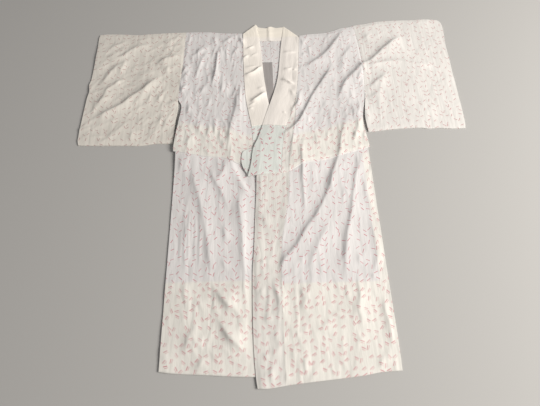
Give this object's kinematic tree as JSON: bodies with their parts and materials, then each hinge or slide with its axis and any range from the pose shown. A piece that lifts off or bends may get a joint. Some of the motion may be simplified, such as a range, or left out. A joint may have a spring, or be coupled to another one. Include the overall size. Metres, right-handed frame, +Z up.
{
  "type": "nagajuban kimono underrobe, laid flat",
  "caption": "Long under-kimono robe with a cream half collar, front bands and a waist tuck, laid flat on its back with the left front over the right",
  "frame": {"origin": "under the middle of the garment's box, on the surface it lies on", "axes": "+X to the wearer's left, across the sleeves; +Y along the body to the neck; +Z up out of the surface, through the front"},
  "size_m": [1.268, 1.2494, 0.0185],
  "materials": {
    "printed_cloth": "thin off-white cloth with fine woven stripes and a scattered print of small pink strokes",
    "collar_cloth": "the same printed cloth folded double, slightly bluish",
    "cream_cloth": "plain cream silk with a soft sheen",
    "patch_cloth": "plain grey cloth, matt"
  },
  "bodies": {
    "root": {"body_right": "printed_cloth", "body_left": "printed_cloth", "sleeve_right": "printed_cloth", "sleeve_left": "printed_cloth", "band_right": "printed_cloth", "band_left": "printed_cloth", "collar_right": "collar_cloth", "collar_left": "collar_cloth", "half_collar": "cream_cloth", "back_patch": "patch_cloth"}
  },
  "joints": []
}
